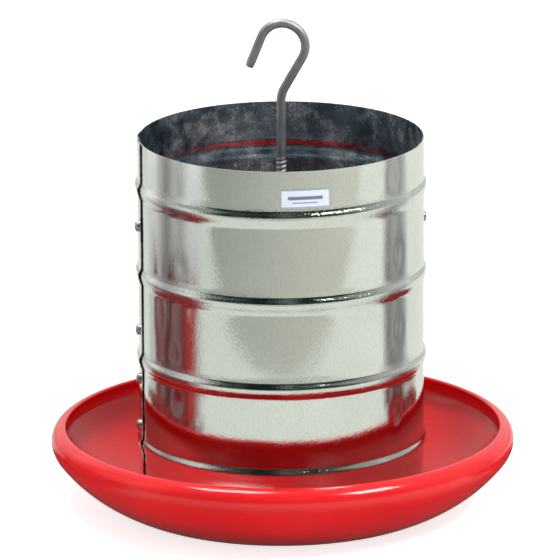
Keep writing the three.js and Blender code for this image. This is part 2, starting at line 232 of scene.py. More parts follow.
class Shader:
    """A Principled material with short calls for the nodes that it is made of."""

    def __init__(self, name):
        self.material = bpy.data.materials.new(name)
        self.material.use_nodes = True
        self.nodes = self.material.node_tree.nodes
        self.links = self.material.node_tree.links
        self.base = self.nodes["Principled BSDF"]
        self.coords = self.nodes.new("ShaderNodeTexCoord").outputs["Object"]

    def set(self, **values):
        for key, value in values.items():
            self.base.inputs[key.replace("_", " ")].default_value = value

    def link(self, output, socket):
        self.links.new(output, socket)

    def scaled(self, x, y, z):
        mapping = self.nodes.new("ShaderNodeMapping")
        mapping.inputs["Scale"].default_value = (x, y, z)
        self.link(self.coords, mapping.inputs["Vector"])
        return mapping.outputs["Vector"]

    def noise(self, scale, detail=2.0, roughness=0.5, vector=None):
        node = self.nodes.new("ShaderNodeTexNoise")
        node.inputs["Scale"].default_value = scale
        node.inputs["Detail"].default_value = detail
        node.inputs["Roughness"].default_value = roughness
        self.link(vector or self.coords, node.inputs["Vector"])
        return node.outputs["Fac"]

    def ramp(self, value, *stops):
        node = self.nodes.new("ShaderNodeValToRGB")
        ramp = node.color_ramp
        while len(ramp.elements) < len(stops):
            ramp.elements.new(0.5)
        for element, (position, colour) in zip(ramp.elements, stops):
            element.position = position
            if isinstance(colour, (int, float)):
                colour = (colour,) * 3
            element.color = (*colour, 1)
        self.link(value, node.inputs["Fac"])
        return node.outputs["Color"]

    def mix(self, factor, a, b, blend="MIX"):
        node = self.nodes.new("ShaderNodeMix")
        node.data_type = "RGBA"
        node.blend_type = blend
        for socket, value in (("Factor", factor), ("A", a), ("B", b)):
            target = next(s for s in node.inputs if s.name == socket and s.enabled)
            if isinstance(value, bpy.types.NodeSocket):
                self.link(value, target)
            elif socket == "Factor":
                target.default_value = value
            else:
                target.default_value = (*value, 1)
        return next(s for s in node.outputs if s.enabled)

    def math(self, operation, a, b=0.0):
        node = self.nodes.new("ShaderNodeMath")
        node.operation = operation
        for socket, value in zip(node.inputs, (a, b)):
            if isinstance(value, bpy.types.NodeSocket):
                self.link(value, socket)
            else:
                socket.default_value = value
        return node.outputs["Value"]

    def height(self, axis="Z"):
        node = self.nodes.new("ShaderNodeSeparateXYZ")
        self.link(self.coords, node.inputs["Vector"])
        return node.outputs[axis]

    def step(self, value, edge, soft):
        """0 below the edge and 1 above it."""
        node = self.nodes.new("ShaderNodeMapRange")
        node.inputs["From Min"].default_value = edge - soft
        node.inputs["From Max"].default_value = edge + soft
        self.link(value, node.inputs["Value"])
        return node.outputs["Result"]

    def bearing(self):
        """Angle about the upright axis, in radians, 0 at the front and positive to the right."""
        node = self.nodes.new("ShaderNodeMath")
        node.operation = "ARCTAN2"
        self.link(self.height("X"), node.inputs[0])
        self.link(self.math("MULTIPLY", self.height("Y"), -1.0), node.inputs[1])
        return node.outputs[0]

    def between(self, value, low, high, soft):
        """1 between two edges and 0 outside them."""
        below_high = self.math("SUBTRACT", 1.0, self.step(value, high, soft))
        return self.math("MULTIPLY", self.step(value, low, soft), below_high)

    def line(self, value, middle, half):
        off = self.math("ABSOLUTE", self.math("SUBTRACT", value, middle))
        return self.math("SUBTRACT", 1.0, self.step(off, half, half * 0.3))

    def facing_axis(self):
        """1 on faces that look towards the upright axis, 0 on faces that look away from it."""
        place = self.nodes.new("ShaderNodeVectorMath")
        place.operation = "MULTIPLY"
        place.inputs[1].default_value = (1, 1, 0)
        self.link(self.coords, place.inputs[0])
        dot = self.nodes.new("ShaderNodeVectorMath")
        dot.operation = "DOT_PRODUCT"
        self.link(place.outputs["Vector"], dot.inputs[0])
        self.link(self.coords.node.outputs["Normal"], dot.inputs[1])
        return self.math("LESS_THAN", dot.outputs["Value"], 0.0)

    def rings(self, spacing):
        """Even rings about the upright axis."""
        wave = self.nodes.new("ShaderNodeTexWave")
        wave.wave_type = "RINGS"
        wave.rings_direction = "Z"
        wave.inputs["Scale"].default_value = math.pi / 10 / spacing
        wave.inputs["Distortion"].default_value = 0.6
        wave.inputs["Detail"].default_value = 2
        self.link(self.coords, wave.inputs["Vector"])
        return wave.outputs["Fac"]

    def bump(self, value, distance, strength=1.0, after=None):
        node = self.nodes.new("ShaderNodeBump")
        node.inputs["Distance"].default_value = distance
        node.inputs["Strength"].default_value = strength
        self.link(value, node.inputs["Height"])
        if after:
            self.link(after, node.inputs["Normal"])
        return node.outputs["Normal"]

    def finish(self, colour=None, roughness=None, normal=None):
        if colour:
            self.link(colour, self.base.inputs["Base Color"])
        if roughness:
            self.link(roughness, self.base.inputs["Roughness"])
        if normal:
            self.link(normal, self.base.inputs["Normal"])
        return self.material


# ---------------------------------------------------------------- materials

def galvanised_sheet():
    """Bright hot-dipped sheet: speckled spangle, faint rolling lines; the inside is duller and mottled."""
    s = Shader("galvanised_sheet")
    clouds = s.noise(14, detail=4, roughness=0.6)
    speckle = s.noise(820, detail=2, roughness=0.6, vector=s.scaled(1, 1, 0.4))
    rolling = s.noise(60, detail=3, vector=s.scaled(1, 1, 0.06))
    outer = s.ramp(clouds, (0.3, (0.70, 0.73, 0.68)), (0.7, (0.78, 0.81, 0.76)))
    outer = s.mix(s.ramp(rolling, (0.45, 0.0), (0.75, 0.22)), outer, (0.64, 0.67, 0.64))
    outer = s.mix(s.ramp(speckle, (0.36, 0.20), (0.54, 0.0)), outer, (0.50, 0.52, 0.50))
    mottle = s.noise(75, detail=6, roughness=0.75)
    patches = s.noise(17, detail=3, roughness=0.6)
    bright = s.math("ADD", s.math("MULTIPLY", mottle, 0.45), s.math("MULTIPLY", patches, 0.55))
    inner = s.ramp(bright, (0.42, (0.26, 0.33, 0.37)), (0.51, (0.58, 0.67, 0.73)), (0.57, (1.0, 1.0, 1.0)))
    inner = s.mix(s.ramp(speckle, (0.38, 0.65), (0.58, 0.0)), inner, (0.18, 0.24, 0.28))
    inside = s.facing_axis()
    tone = s.mix(inside, outer, inner)
    oxide = s.ramp(bright, (0.44, 1.0), (0.58, 0.86))
    s.link(s.mix(inside, (1.0, 1.0, 1.0), oxide), s.base.inputs["Metallic"])
    smooth = s.ramp(s.noise(300, detail=4), (0.3, 0.05), (0.7, 0.10))
    dull = s.ramp(mottle, (0.3, 0.17), (0.7, 0.34))
    beads = s.line(s.height("Z"), BEAD_MIDDLES[0], 11 * MM)
    dull = s.mix(s.math("MULTIPLY", beads, 0.75), dull, smooth)
    rough = s.mix(inside, smooth, dull)
    normal = s.bump(s.noise(26, detail=1, vector=s.scaled(1, 1, 0.35)), 0.0004, 0.5)
    grain = s.ramp(s.noise(22, detail=2), (0.42, 0.35), (0.60, 0.8))
    for middle in BEAD_MIDDLES:
        on_bead = s.line(s.height("Z"), middle + 1 * MM, 8 * MM)
        coarse = s.ramp(s.noise(24, detail=1), (0.42, 0.5), (0.56, 2.0))
        grain = s.math("ADD", grain, s.math("MULTIPLY", on_bead, coarse))
    grain = s.math("MULTIPLY", speckle, grain)
    normal = s.bump(grain, 0.00011, after=normal)
    return s.finish(tone, rough, normal)


def zinc_plate():
    """Satin plated steel with small dull patches."""
    s = Shader("zinc_plate")
    s.set(Metallic=1.0)
    patches = s.noise(160, detail=5, roughness=0.65)
    tone = s.ramp(patches, (0.3, (0.36, 0.38, 0.39)), (0.65, (0.62, 0.64, 0.64)))
    rough = s.ramp(s.noise(420, detail=4), (0.3, 0.22), (0.7, 0.42))
    normal = s.bump(s.noise(1500, detail=2), 0.00002)
    return s.finish(tone, rough, normal)


def drawn_steel():
    """Dull drawn rod: grey, streaked along its length, blotched by handling."""
    s = Shader("rod_steel")
    s.set(Metallic=1.0)
    streaks = s.noise(260, detail=4, roughness=0.6, vector=s.scaled(1, 1, 0.12))
    blotches = s.noise(45, detail=5, roughness=0.6)
    tone = s.ramp(blotches, (0.3, (0.32, 0.33, 0.34)), (0.7, (0.47, 0.48, 0.49)))
    tone = s.mix(s.ramp(streaks, (0.4, 0.0), (0.8, 0.5)), tone, (0.56, 0.57, 0.58))
    rough = s.ramp(streaks, (0.3, 0.44), (0.7, 0.60))
    normal = s.bump(streaks, 0.00008)
    return s.finish(tone, rough, normal)


def red_plastic():
    """Glossy moulded red with faint moulding rings, flow clouds and fine scuffs."""
    s = Shader("dish_plastic")
    s.set(Specular_IOR_Level=0.5)
    clouds = s.noise(9, detail=3, roughness=0.6)
    tone = s.ramp(clouds, (0.3, (0.70, 0.010, 0.014)), (0.7, (0.80, 0.016, 0.020)))
    rings = s.rings(0.0042)
    tone = s.mix(s.ramp(rings, (0.0, 0.0), (1.0, 0.10)), tone, (0.46, 0.006, 0.009))
    scuffs = s.noise(120, detail=6, roughness=0.75)
    rough = s.ramp(scuffs, (0.35, 0.10), (0.75, 0.22))
    normal = s.bump(rings, 0.00006)
    normal = s.bump(s.noise(220, detail=2), 0.00003, after=normal)
    return s.finish(tone, rough, normal)


def label_film():
    """Plain pale film with a soft printed border and two blank ruled bars."""
    s = Shader("label_film")
    s.set(Specular_IOR_Level=0.45)
    low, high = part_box("label_plate")
    middle = (low + high) / 2
    fibre = s.noise(700, detail=3)
    tone = s.ramp(fibre, (0.35, (0.70, 0.76, 0.88)), (0.65, (0.80, 0.85, 0.94)))
    across = s.math("ABSOLUTE", s.math("SUBTRACT", s.height("X"), middle.x))
    rise = s.math("SUBTRACT", s.height("Z"), middle.z)
    sides = s.step(across, 20.3 * MM, 0.4 * MM)
    border = s.math("MAXIMUM", sides, s.step(s.math("ABSOLUTE", rise), 7.1 * MM, 0.3 * MM))
    bar = s.line(rise, 0.6 * MM, 1.5 * MM)
    bar = s.math("MULTIPLY", bar, s.math("SUBTRACT", 1.0, s.step(across, 15 * MM, 0.4 * MM)))
    thin = s.line(rise, -3.6 * MM, 0.45 * MM)
    thin = s.math("MULTIPLY", thin, s.math("SUBTRACT", 1.0, s.step(across, 11 * MM, 0.4 * MM)))
    ink = s.math("MAXIMUM", s.math("MULTIPLY", border, 0.65), s.math("MAXIMUM", bar, thin))
    tone = s.mix(ink, tone, (0.16, 0.19, 0.30))
    rough = s.ramp(s.noise(200, detail=3), (0.3, 0.30), (0.7, 0.42))
    return s.finish(tone, rough, s.bump(fibre, 0.00001))


# ---------------------------------------------------------------- tube

def bead_rise(z):
    """How far the swaged beads stand out at each height."""
    rise = np.zeros_like(z)
    for middle in BEAD_MIDDLES:
        reach = np.where(z > middle, BEAD_UPPER, BEAD_LOWER)
        share = np.clip((z - middle) / reach, -1, 1)
        rise += BEAD_SWELL * (1 + np.cos(math.pi * share)) / 2
    return rise


def sheet_heights():
    """Rows of the sheet: close together over the beads, wider apart between them."""
    edges = [TUBE_BOTTOM]
    for middle in reversed(BEAD_MIDDLES):
        edges += [middle - BEAD_LOWER, middle + BEAD_UPPER]
    edges.append(RIM)
    rows = []
    for i, (low, high) in enumerate(zip(edges, edges[1:])):
        steps = 22 if i % 2 else 14
        rows += list(np.linspace(low, high, steps, endpoint=False))
    return np.array(rows + [RIM])


def sheet_waves(angle, z):
    """Slight springiness of the thin sheet between its beads, and its dents."""
    rng = np.random.default_rng(SEED)
    calm = np.ones_like(z)
    for middle in BEAD_MIDDLES:
        calm *= 1 - np.exp(-((z - middle) / (BEAD_HEIGHT * 0.8)) ** 2)
    waves = np.zeros_like(z)
    for _ in range(14):
        around = rng.integers(2, 13)
        along = rng.uniform(8, 45)
        phase = rng.uniform(0, 2 * math.pi, 2)
        size = rng.uniform(0.3, 1.0) / (around + 2)
        waves += size * np.sin(around * angle + phase[0]) * np.sin(along * z + phase[1])
    waves *= calm * WAVE_HEIGHT
    for turn, level, across, tall, depth in DENTS:
        off = (angle - math.radians(turn) + math.pi) % (2 * math.pi) - math.pi
        waves -= depth * np.exp(-(off * TUBE_RADIUS / across) ** 2 - ((z - level) / tall) ** 2)
    return waves


def hopper_tube(material):
    heights = sheet_heights()
    step = math.radians(1.5)
    turn = 2 * math.pi
    spans = np.arange(0, turn + SEAM_SPAN + step / 2, step)
    u, z = np.meshgrid(spans, heights, indexing="ij")
    angle = u + SEAM_EDGE - SEAM_SPAN
    joggle = np.clip((u - turn + 3 * step + SEAM_SPAN / 2) / (SEAM_SPAN / 2), 0, 1)
    lap = joggle * joggle * (3 - 2 * joggle) * LAP_RISE
    near_edge = np.clip((u - turn - SEAM_SPAN * 0.6) / (SEAM_SPAN * 0.4), 0, 1)
    bead = bead_rise(z)
    lap += near_edge ** 2 * EDGE_LIFT * (1 + 1.2 * bead / BEAD_RISE)
    middle = TUBE_INSIDE + SHEET / 2 + bead + lap + sheet_waves(angle, z)
    points = []
    for side in (1, -1):
        r = middle + side * SHEET / 2
        points.append(np.stack([r * np.cos(angle), r * np.sin(angle), z], axis=-1).reshape(-1, 3))
    columns, rows = u.shape
    count = columns * rows
    faces = grid_faces(columns, rows)
    faces += [tuple(count + k for k in reversed(f)) for f in grid_faces(columns, rows)]
    border = [(i, 0) for i in range(columns)] + [(columns - 1, j) for j in range(1, rows)]
    border += [(i, rows - 1) for i in range(columns - 2, -1, -1)] + [(0, j) for j in range(rows - 2, 0, -1)]
    ring = [i * rows + j for i, j in border]
    for a, b in zip(ring, ring[1:] + ring[:1]):
        faces.append((a, count + a, count + b, b))
    mesh = mesh_from("hopper_sheet", np.concatenate(points), faces)
    return new_object("hopper_sheet", mesh, material, "hopper", "galvanised_sheet", "hopper_shell")


# ---------------------------------------------------------------- dish

def dish_profile():
    """The closed half-section of the dish, from the hub up over the lip and back under the bowl."""
    curl = (DISH_RADIUS - LIP_RADIUS, LIP_HEIGHT)
    shoulder = (DISH_RADIUS - SHOULDER_RADIUS, LIP_HEIGHT)
    turn = math.radians(SHOULDER_TURN)
    end = (shoulder[0] + SHOULDER_RADIUS * math.cos(turn), shoulder[1] - SHOULDER_RADIUS * math.sin(turn))
    inward = end[0] - FOOT_RADIUS
    off_line = inward * math.cos(turn) - end[1] * math.sin(turn)
    bowl_radius = (inward ** 2 + end[1] ** 2) / (2 * off_line)
    bowl = (end[0] - bowl_radius * math.cos(turn), end[1] + bowl_radius * math.sin(turn))

    def bowl_arc(radius, level):
        foot = -math.degrees(math.asin((bowl[1] - level) / radius))
        return arc(bowl, radius, foot, -SHOULDER_TURN, 28)

    slope = math.atan2(CONE_HEIGHT - DISH_WALL, CONE_BASE_RADIUS - CONE_TOP_RADIUS)
    inset = DISH_WALL * math.tan(slope / 2)
    inner_curl = LIP_RADIUS - DISH_WALL
    cone_top = [(BORE, CONE_HEIGHT), (CONE_TOP_RADIUS - 2 * MM, CONE_HEIGHT)]
    cone_side = [(CONE_TOP_RADIUS + 1.5 * MM, CONE_HEIGHT - 1.4 * MM)]
    cone_side += [(CONE_BASE_RADIUS - 6 * MM, DISH_WALL + 5.2 * MM)]
    cone_side += [(CONE_BASE_RADIUS - 1 * MM, DISH_WALL + 1.6 * MM)]
    floor = [(CONE_BASE_RADIUS + 5 * MM, DISH_WALL)]
    inside = bowl_arc(bowl_radius - DISH_WALL, DISH_WALL)
    inside += arc(shoulder, SHOULDER_RADIUS - DISH_WALL, -SHOULDER_TURN, 0, 10)[1:]
    edge_turn = LIP_TURN - 6
    inside += arc(curl, inner_curl, 0, edge_turn, 16)[1:]
    tip = math.radians(edge_turn)
    middle = inner_curl + DISH_WALL / 2
    bulb = (curl[0] + middle * math.cos(tip), curl[1] + middle * math.sin(tip))
    lip_end = arc(bulb, DISH_WALL / 2, edge_turn + 180, edge_turn, 8)[1:-1]
    outside = arc(curl, LIP_RADIUS, edge_turn, 0, 24)
    outside += arc(shoulder, SHOULDER_RADIUS, 0, -SHOULDER_TURN, 10)[1:]
    outside += bowl_arc(bowl_radius, 0)[::-1][1:]
    under = [(FOOT_RADIUS - 3 * MM, 0), (CONE_BASE_RADIUS - inset, 0)]
    under += [(CONE_TOP_RADIUS - inset, CONE_HEIGHT - DISH_WALL), (BORE, CONE_HEIGHT - DISH_WALL)]
    return cone_top + cone_side + floor + inside + lip_end + outside + under


def feed_dish(material):
    mesh = revolve("dish", dish_profile(), 240)
    return new_object("dish", mesh, material, "dish_and_rod", "dish_plastic", "feed_dish")


# ---------------------------------------------------------------- hook rod

def hook_line():
    """Points (x, z) up the rod and round its hook."""
    top = RIM + HOOK_RISE
    loop_z = top - HOOK_LOOP_RADIUS
    join_x = HOOK_OFFSET + HOOK_LOOP_RADIUS * math.cos(HOOK_LEAN)
    join_z = loop_z - HOOK_LOOP_RADIUS * math.sin(HOOK_LEAN)
    lean_x = HOOK_BEND_RADIUS * (1 - math.cos(HOOK_LEAN))
    lean_z = join_z - (join_x - lean_x) / math.tan(HOOK_LEAN)
    bend_z = lean_z - HOOK_BEND_RADIUS * math.sin(HOOK_LEAN)
    line = [(0.0, z) for z in np.arange(ROD_LOW.z + 2 * MM, bend_z, THREAD_PITCH / 12)]
    for a in np.linspace(math.pi, math.pi - HOOK_LEAN, 12):
        line.append((HOOK_BEND_RADIUS * (1 + math.cos(a)), bend_z + HOOK_BEND_RADIUS * math.sin(a)))
    for t in np.linspace(0, 1, 8)[1:]:
        line.append((lean_x + t * (join_x - lean_x), lean_z + t * (join_z - lean_z)))
    for a in np.linspace(-HOOK_LEAN, math.pi / 2, 48)[1:]:
        line.append((HOOK_OFFSET + HOOK_LOOP_RADIUS * math.cos(a), loop_z + HOOK_LOOP_RADIUS * math.sin(a)))
    tip_z = top - HOOK_TIP_RADIUS
    for a in np.linspace(math.pi / 2, math.pi - HOOK_FLARE, 30)[1:]:
        line.append((HOOK_OFFSET + HOOK_TIP_RADIUS * math.cos(a), tip_z + HOOK_TIP_RADIUS * math.sin(a)))
    start = line[-1]
    for t in np.linspace(0, 1, 9)[1:]:
        reach = t * HOOK_TIP_LENGTH
        line.append((start[0] - reach * math.sin(HOOK_FLARE), start[1] - reach * math.cos(HOOK_FLARE)))
    return line


def thread_depth(z):
    """How deep the thread is cut at a height: full inside the threads, fading over one turn at their ends."""
    top = RIM - THREAD_TOP_DEPTH
    low_end = ROD_LOW.z + LOWER_THREAD
    upper = min((top - z) / THREAD_PITCH, (z - top + UPPER_THREAD) / THREAD_PITCH)
    lower = (low_end - z) / THREAD_PITCH
    return min(1.0, max(0.0, upper, lower))


def hook_rod(material):
    line = hook_line()
    stations = []
    count = len(line)
    chamfer = [0.45, 0.8, 0.95]
    for i, (x, z) in enumerate(line):
        ahead = Vector(line[min(i + 1, count - 1)]) - Vector(line[max(i - 1, 0)])
        ahead.normalize()
        up = Vector((0, 1, 0))
        side = Vector((ahead.y, 0, -ahead.x))
        cut = thread_depth(z) if x == 0 else 0
        end = min(i, count - 1 - i)
        blunt = chamfer[end] if end < len(chamfer) and i < count // 2 else 1
        if i == count - 1:
            blunt = 0.82

        def radius_at(angle, z=z, cut=cut, blunt=blunt):
            phase = (z / THREAD_PITCH - angle / (2 * math.pi)) % 1
            crest = 0.5 + 0.5 * math.cos(2 * math.pi * phase)
            crest = min(1, max(0, crest * 1.5 - 0.25))
            threaded = THREAD_ROOT + (THREAD_RADIUS - THREAD_ROOT) * crest
            return (ROD_RADIUS + (threaded - ROD_RADIUS) * cut) * blunt

        stations.append((Vector((x, 0, z)), side, up, radius_at))
    mesh = sweep("hooked_rod", stations, 32)
    return new_object("hooked_rod", mesh, material, "dish_and_rod", "rod_steel", "hook_rod")


# ---------------------------------------------------------------- hardware

def washer(node, body, material):
    low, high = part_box(node)
    outer = high.x
    profile = rounded([(BORE, low.z), (outer, low.z), (outer, high.z), (BORE, high.z)], 0.45 * MM)
    mesh = revolve(node + "_ring", profile, 72)
    new_object(node + "_ring", mesh, material, body, "zinc_plate", node)


def hex_nut(node, body, material):
    """A hexagon whose corners are turned off at both faces, with a countersunk bore."""
    low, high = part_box(node)
    flat = NUT_FLATS / 2
    corner = flat / math.cos(math.pi / 6)
    levels = []
    for share, turned in ((0, 0.94), (0.03, 0.98), (0.09, 1.03), (0.17, 1.10)):
        levels.append((low.z + share * (high.z - low.z), flat * turned))
    levels.append((low.z + 0.25 * (high.z - low.z), corner))
    levels += [(high.z + low.z - z, limit) for z, limit in reversed(levels)]
    throat, countersink = THREAD_RADIUS + 0.1 * MM, THREAD_RADIUS + 0.9 * MM
    profile = [(throat, low.z + 1 * MM), (countersink, low.z)]
    profile += [(None, i) for i in range(len(levels))]
    profile += [(countersink, high.z), (throat, high.z - 1 * MM)]
    segments = 144
    points = []
    for r, z in profile:
        for k in range(segments):
            a = 2 * math.pi * k / segments
            radius, level = r, z
            if r is None:
                level, limit = levels[z]
                wedge = (a + math.pi / 6) % (math.pi / 3) - math.pi / 6
                radius = min(flat / math.cos(wedge), limit)
            points.append((radius * math.cos(a), radius * math.sin(a), level))
    faces = grid_faces(len(profile), segments, close_rows=True, close_columns=True)
    mesh = mesh_from(node + "_hexagon", points, faces, math.radians(22))
    new_object(node + "_hexagon", mesh, material, body, "zinc_plate", node)


def plate(name, outline, thickness, bevel):
    """A plate in the XZ plane with bevelled edges, its middle at y = 0."""
    made = bmesh.new()
    face = made.faces.new([made.verts.new((x, -thickness / 2, z)) for x, z in outline])
    grown = bmesh.ops.extrude_face_region(made, geom=[face])
    moved = [v for v in grown["geom"] if isinstance(v, bmesh.types.BMVert)]
    bmesh.ops.translate(made, verts=moved, vec=(0, thickness, 0))
    bmesh.ops.recalc_face_normals(made, faces=made.faces)
    rims = [e for e in made.edges if e.calc_face_angle(0) > math.radians(60)]
    bmesh.ops.bevel(made, geom=rims, offset=bevel, segments=3, profile=0.5, affect="EDGES")
    for each in made.faces:
        each.smooth = True
    mesh = bpy.data.meshes.new(name)
    made.to_mesh(mesh)
    made.free()
    return mesh


def joined(name, meshes):
    made = bmesh.new()
    for mesh in meshes:
        made.from_mesh(mesh)
    whole = bpy.data.meshes.new(name)
    made.to_mesh(whole)
    made.free()
    return whole


def wing_nut(node, body, material):
    """A tapered hub with two ears that sweep down and outwards."""
    low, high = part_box(node)
    top = high.z
    hub_low = top - WING_HUB_HEIGHT
    hub = rounded([(BORE, hub_low), (WING_HUB_RADIUS * 0.82, hub_low), (WING_HUB_RADIUS, top - 2 * MM),
                   (WING_HUB_RADIUS, top), (BORE, top)], 0.8 * MM)
    pieces = [revolve("hub", hub, 72)]
    tip = high.x
    for side in (1, -1):
        root = WING_HUB_RADIUS * 0.72
        outline = [(root, top - 2.4 * MM), (tip - 6 * MM, top - 4 * MM), (tip, top - 10 * MM),
                   (tip - 1 * MM, low.z + 0.2 * MM), (tip - 9 * MM, low.z), (root, hub_low + 1.5 * MM)]
        corners = [(side * x, z) for x, z in outline]
        pieces.append(plate("ear", rounded(corners, 4.5 * MM, 6), WING_THICKNESS, 0.7 * MM))
    mesh = joined("wing_nut", pieces)
    new_object("wing_nut", mesh, material, body, "zinc_plate", node)


def rivet(node, body, material, tail_seat):
    """A domed head outside, its shank, and a small upset tail inside."""
    low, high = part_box(node)
    middle = (low + high) / 2
    outward = Vector((middle.x, middle.y, 0)).normalized()
    seat = max(abs(low.x), abs(high.x)) / abs(outward.x) - RIVET_HEAD_HEIGHT
    brim, tail_brim = 0.5 * MM, 0.3 * MM
    dome = [(RIVET_HEAD_RADIUS * math.cos(a), seat + brim + (RIVET_HEAD_HEIGHT - brim) * math.sin(a))
            for a in np.radians(np.linspace(0, 88, 14))]
    tail_rise = RIVET_TAIL_HEIGHT - tail_brim
    tail = [(RIVET_TAIL_RADIUS * math.cos(a), tail_seat - tail_brim - tail_rise * math.sin(a))
            for a in np.radians(np.linspace(88, 0, 10))]
    profile = tail + [(RIVET_TAIL_RADIUS, tail_seat), (RIVET_SHANK_RADIUS, tail_seat)]
    profile += [(RIVET_SHANK_RADIUS, seat), (RIVET_HEAD_RADIUS, seat)] + dome
    mesh = revolve(node + "_dome", profile, 40)
    turn = outward.to_track_quat("Z", "Y").to_matrix().to_4x4()
    mesh.transform(turn)
    mesh.transform(Matrix.Translation((0, 0, middle.z)))
    new_object(node + "_dome", mesh, material, body, "zinc_plate", node)


def crossbar(material):
    """A flat bar across the tube, its ends bent down against the wall."""
    low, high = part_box("crossbar")
    top = high.z
    reach = BAR_REACH
    thick = BAR_THICKNESS
    bend = 3.2 * MM
    centre = [(reach - thick / 2, low.z + 0.2 * MM)]
    centre += arc((reach - thick / 2 - bend, top - thick / 2 - bend), bend, 0, 90, 8)
    line = centre + [(-x, z) for x, z in reversed(centre)]
    wide, deep = BAR_WIDTH / 2, thick / 2
    section = rounded([(-wide, -deep), (wide, -deep), (wide, deep), (-wide, deep)], 0.7 * MM)
    points = []
    for i, (x, z) in enumerate(line):
        ahead = Vector(line[min(i + 1, len(line) - 1)]) - Vector(line[max(i - 1, 0)])
        ahead.normalize()
        for across, off in section:
            points.append((x - ahead.y * off, across, z + ahead.x * off))
    faces = grid_faces(len(line), len(section), close_columns=True)
    last = (len(line) - 1) * len(section)
    faces += [tuple(range(len(section)))[::-1], tuple(last + k for k in range(len(section)))]
    mesh = mesh_from("hanger_bar", points, faces)
    mesh.transform(Matrix.Rotation(RIVET_ANGLE - math.pi, 4, "Z"))
    new_object("hanger_bar", mesh, material, "hopper", "zinc_plate", "crossbar")


def label(material):
    """A blank film wrapped on the sheet, with rounded corners."""
    low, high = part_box("label_plate")
    middle = (low + high) / 2
    heading = math.atan2(middle.y, middle.x)
    half_width, half_height, corner = 22 * MM, (high.z - low.z) / 2, 1.8 * MM
    rows, columns = 25, 49
    points = []
    for skin in (LABEL_THICKNESS + 0.25 * MM, 0.25 * MM):
        for j in range(rows):
            v = math.sin(math.pi / 2 * (2 * j / (rows - 1) - 1)) * half_height
            over = max(0.0, abs(v) - (half_height - corner))
            width = half_width - corner + math.sqrt(max(0.0, corner ** 2 - over ** 2))
            for i in range(columns):
                u = (2 * i / (columns - 1) - 1) * width
                angle = heading + u / TUBE_RADIUS
                radius = TUBE_RADIUS + skin
                points.append((radius * math.cos(angle), radius * math.sin(angle), middle.z + v))
    count = rows * columns
    faces = grid_faces(rows, columns)
    faces += [tuple(count + k for k in reversed(f)) for f in grid_faces(rows, columns)]
    ring = list(range(columns)) + [j * columns + columns - 1 for j in range(1, rows)]
    ring += [(rows - 1) * columns + i for i in range(columns - 2, -1, -1)]
    ring += [j * columns for j in range(rows - 2, 0, -1)]
    for a, b in zip(ring, ring[1:] + ring[:1]):
        faces.append((a, count + a, count + b, b))
    mesh = mesh_from("blank_label", points, faces)
    new_object("blank_label", mesh, material, "hopper", "label_film", "label_plate")


# ---------------------------------------------------------------- build

galvanised = galvanised_sheet()
zinc = zinc_plate()
steel = drawn_steel()
red = red_plastic()
film = label_film()

hopper_tube(galvanised)
feed_dish(red)
hook_rod(steel)
label(film)
crossbar(zinc)
rivet("seam_rivet_1", "hopper", zinc, BAR_REACH - BAR_THICKNESS - 0.3 * MM)
for number in (2, 3, 4):
    rivet(f"seam_rivet_{number}", "hopper", zinc, TUBE_INSIDE - 0.3 * MM)
rivet("crossbar_rivet", "hopper", zinc, BAR_REACH - BAR_THICKNESS - 0.3 * MM)
washer("height_washer", "hopper", zinc)
washer("lock_washer", "hopper", zinc)
washer("dish_upper_washer", "dish_and_rod", zinc)
washer("dish_lower_washer", "dish_and_rod", zinc)
hex_nut("lock_nut", "jam_nut", zinc)
hex_nut("dish_upper_nut", "dish_and_rod", zinc)
hex_nut("dish_lower_nut", "dish_and_rod", zinc)
wing_nut("height_wing_nut", "wing_nut", zinc)


# ---------------------------------------------------------------- studio

TABLE_EDGE = -0.61
# Reaches on the reflection table: a painted shadow close under the dish, and painted red reflection patches
# around it.
SHADOW_REACH = 0.27
RED_GLOW_REACH = 0.47
CARD_LEFT_TONES = [
    (0.0, 1.0), (0.21, 0.97), (0.323, 0.63), (0.427, 0.31), (0.523, 0.40),
    (0.613, 0.68), (0.694, 0.50), (0.774, 0.73), (0.855, 0.98), (1.0, 1.0),
]
# Colours of the painted red reflection that glows at the feet of the side cards.
CARD_LEFT_REDS = [
    (0.21, (0.124, 0.033, 0.034)), (0.323, (0.28, 0.13, 0.13)), (0.427, (0.09, 0.027, 0.033)),
    (0.523, (0.12, 0.024, 0.033)), (0.613, (0.255, 0.14, 0.135)), (0.694, (0.196, 0.10, 0.11)),
    (0.774, (0.23, 0.024, 0.026)), (0.855, (0.50, 0.062, 0.058)), (0.93, (0.38, 0.045, 0.042)),
]
CARD_RIGHT_TONES = [
    (0.0, 1.1), (0.10, 0.65), (0.16, 0.40), (0.33, 0.55), (0.50, 0.65),
    (0.62, 0.42), (0.72, 0.50), (0.88, 0.80), (1.0, 1.1),
]
CARD_RIGHT_REDS = [(0.1, (0.22, 0.035, 0.03)), (0.45, (0.12, 0.05, 0.05)), (0.9, (0.28, 0.04, 0.04))]


def camera():
    """A long lens, a little above the rim, as far back as a studio camera stands."""
    distance = 6.0
    elevation = math.radians(15.6)
    focus = Vector((-0.0016, 0, 0.2))
    data = bpy.data.cameras.new("camera")
    data.sensor_width = 36
    data.lens = 438.6
    data.clip_end = 100
    view = bpy.data.objects.new("camera", data)
    bpy.context.scene.collection.objects.link(view)
    back = Vector((0, -math.cos(elevation), math.sin(elevation)))
    view.location = focus + back * distance
    view.rotation_mode = "QUATERNION"
    roll = Matrix.Rotation(math.radians(-0.3), 4, back)
    view.rotation_quaternion = roll.to_quaternion() @ (-back).to_track_quat("-Z", "Y")
    bpy.context.scene.camera = view


